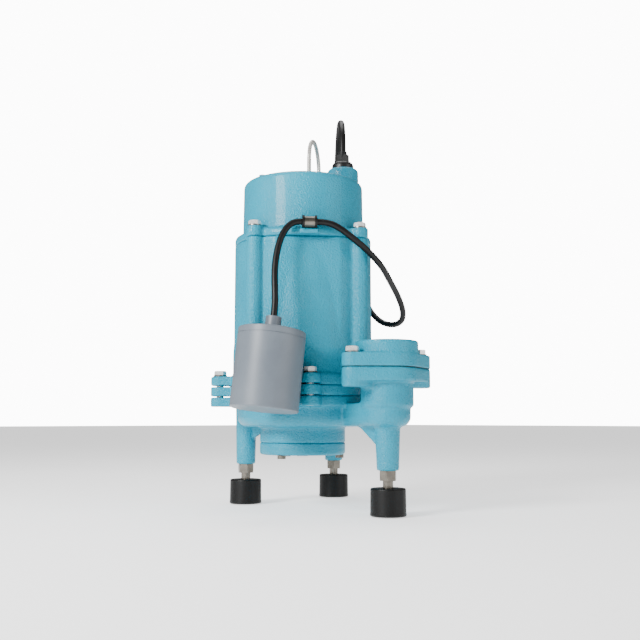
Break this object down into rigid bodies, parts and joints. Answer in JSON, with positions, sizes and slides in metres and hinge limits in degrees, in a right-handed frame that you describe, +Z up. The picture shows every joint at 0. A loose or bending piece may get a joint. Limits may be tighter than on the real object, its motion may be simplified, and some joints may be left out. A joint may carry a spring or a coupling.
{
  "type": "submersible sump pump",
  "caption": "Submersible sump pump: cast motor housing on a volute with side discharge flange, rubber feet and a tethered float switch.",
  "frame": {"origin": "centre of the pump's footprint, on the floor under its feet", "axes": "+Z up along the motor's axis, +X from the motor's axis towards the discharge"},
  "size_m": [0.3615, 0.3246, 0.5679],
  "materials": {
    "teal_enamel": "cast iron with gloss enamel over an orange-peel texture",
    "stainless": "stainless steel, turned and formed",
    "bright_head": "polished stainless heads",
    "black_rubber": "matte black rubber",
    "cord_jacket": "black thermoset rubber jacket",
    "black_plastic": "black moulded nylon",
    "grey_pvc": "grey moulded polypropylene",
    "gasket_fibre": "compressed fibre and nitrile",
    "ground_steel": "ground steel",
    "silicon_steel": "stacked electrical steel",
    "rotor_aluminium": "die-cast aluminium",
    "winding_copper": "varnished copper wire",
    "impeller_iron": "bare cast iron",
    "seal_carbon": "carbon and ceramic",
    "pin_brass": "bright brass",
    "tie_strap": "woven hook-and-loop strap",
    "bracket_iron": "bare cast iron"
  },
  "bodies": {
    "pump": {"bail_ferrules": "stainless", "cap_bolts": "bright_head", "capacitor_tray": "rotor_aluminium", "clip_grommet": "black_rubber", "clip_screw": "stainless", "coil_ties": "tie_strap", "cord_clip": "stainless", "cord_gland": "black_plastic", "discharge_bolts": "bright_head", "discharge_flange": "teal_enamel", "discharge_gasket": "gasket_fibre", "flange_bolts": "bright_head", "foot_nuts": "stainless", "foot_pad_discharge": "black_rubber", "foot_pad_left": "black_rubber", "foot_pad_rear": "black_rubber", "foot_studs": "stainless", "lifting_bail": "stainless", "lower_bearing_outer": "ground_steel", "motor_cap": "teal_enamel", "motor_housing": "teal_enamel", "o_rings": "black_rubber", "oil_fill_plug": "teal_enamel", "plate_screws": "stainless", "plug_pins": "pin_brass", "power_coil": "cord_jacket", "power_cord": "cord_jacket", "power_plug": "black_plastic", "seal_plate": "teal_enamel", "seal_seats": "seal_carbon", "start_capacitor": "rotor_aluminium", "start_relay": "black_plastic", "stator_core": "silicon_steel", "stator_windings": "winding_copper", "suction_plate": "teal_enamel", "switch_cord": "cord_jacket", "switch_gland": "black_plastic", "upper_bearing_bracket": "bracket_iron", "upper_bearing_outer": "ground_steel", "volute_casing": "teal_enamel", "washers": "stainless"},
    "rotor": {"rotor_shaft": "ground_steel", "rotor_core": "silicon_steel", "rotor_end_rings": "rotor_aluminium", "lower_bearing_inner": "ground_steel", "upper_bearing_inner": "ground_steel", "seal_heads": "seal_carbon", "seal_spring": "ground_steel", "impeller": "impeller_iron", "grinder_cutter": "ground_steel", "cutter_screw": "ground_steel"},
    "lower_ball_set": {"lower_bearing_balls": "ground_steel"},
    "upper_ball_set": {"upper_bearing_balls": "ground_steel"},
    "float": {"float_shell": "grey_pvc", "float_cap": "grey_pvc", "float_cord_seal": "grey_pvc", "float_tether": "cord_jacket", "float_ball_track": "grey_pvc", "float_microswitch": "black_plastic"},
    "float_weight": {"float_ball": "ground_steel"}
  },
  "joints": [
    {"name": "rotor_spin", "type": "hinge", "parent": "pump", "child": "rotor", "pos_m": [-0.04442, 0.00601, 0.2], "axis": [0, 0, 1], "continuous": true},
    {"name": "lower_ball_spin", "type": "hinge", "parent": "pump", "child": "lower_ball_set", "pos_m": [-0.04442, 0.00601, 0.1885], "axis": [0, 0, 1], "continuous": true},
    {"name": "upper_ball_spin", "type": "hinge", "parent": "pump", "child": "upper_ball_set", "pos_m": [-0.04442, 0.00601, 0.327], "axis": [0, 0, 1], "continuous": true},
    {"name": "float_swing", "type": "hinge", "parent": "pump", "child": "float", "pos_m": [0.03486, -0.05159, 0.367], "axis": [-0.5878, -0.809, 0], "range_deg": [0, 125]},
    {"name": "float_ball_slide", "type": "slide", "parent": "float", "child": "float_weight", "axis": [0, 0.1253, 0.9921], "range_m": [0, 0.024]}
  ],
  "couplings": [
    {"joint": "lower_ball_spin", "follows": "rotor_spin", "ratio": 0.3958},
    {"joint": "upper_ball_spin", "follows": "rotor_spin", "ratio": 0.3803}
  ]
}
